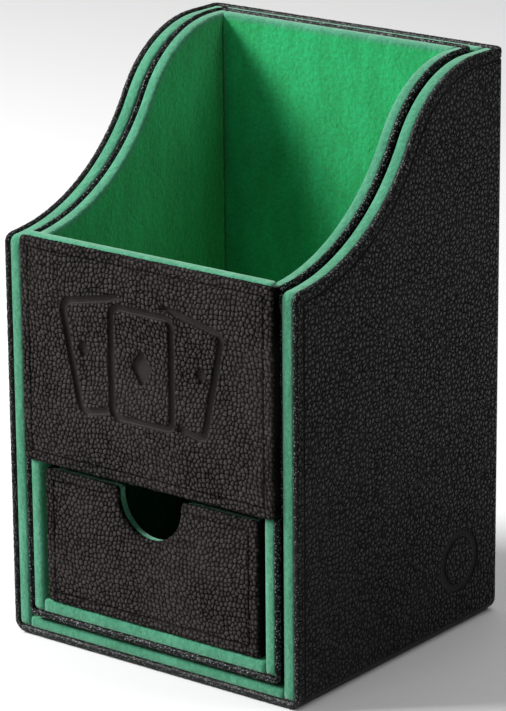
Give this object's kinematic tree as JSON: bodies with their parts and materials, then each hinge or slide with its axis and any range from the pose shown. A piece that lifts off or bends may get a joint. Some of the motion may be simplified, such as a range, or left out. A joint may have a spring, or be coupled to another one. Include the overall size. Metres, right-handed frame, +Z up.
{
  "type": "card deck box",
  "caption": "Upright deck box for trading cards: open card compartment above swept side walls, pull-out tray drawer below, black pebbled leatherette with green suede edges and lining.",
  "frame": {"origin": "middle of the footprint, on the surface the box stands on", "axes": "+Z up, -Y towards the front with the drawer, +X to the right seen from the front"},
  "size_m": [0.087, 0.0838, 0.1429],
  "materials": {
    "leather_panel": "pebbled, satin",
    "leather_side": "pebbled, satin",
    "leather_lining_wrap": "fine grained, satin",
    "suede": "brushed suede nap",
    "greyboard": "uncoated",
    "magnet": "nickel plated"
  },
  "bodies": {
    "box": {"shell_left_board": "greyboard", "shell_right_board": "greyboard", "shell_back_board": "greyboard", "shell_bottom_board": "greyboard", "shell_leather_wrap": "leather_side", "shell_bottom_leather": "leather_side", "shell_left_suede": "suede", "shell_right_suede": "suede", "shell_back_suede": "suede", "shell_floor_suede": "suede", "neck_left_board": "greyboard", "neck_right_board": "greyboard", "neck_back_board": "greyboard", "neck_bottom_board": "greyboard", "neck_leather_wrap": "leather_side", "neck_bottom_leather": "leather_side", "neck_spacer_card": "greyboard", "neck_left_suede": "suede", "neck_right_suede": "suede", "neck_back_suede": "suede", "bay_floor_suede": "suede", "shelf_board": "greyboard", "shelf_suede": "suede", "front_panel_board": "greyboard", "front_panel_leather": "leather_panel", "front_panel_suede": "suede", "lid_magnets": "magnet"},
    "drawer": {"drawer_front_board": "greyboard", "drawer_left_board": "greyboard", "drawer_right_board": "greyboard", "drawer_back_board": "greyboard", "drawer_bottom_board": "greyboard", "drawer_front_leather": "leather_panel", "drawer_wrap": "leather_lining_wrap", "drawer_front_suede": "suede", "drawer_left_suede": "suede", "drawer_right_suede": "suede", "drawer_back_suede": "suede", "drawer_floor_suede": "suede"}
  },
  "joints": [
    {"name": "drawer_slide", "type": "slide", "parent": "box", "child": "drawer", "axis": [0, -1, 0], "range_m": [0, 0.075]}
  ]
}
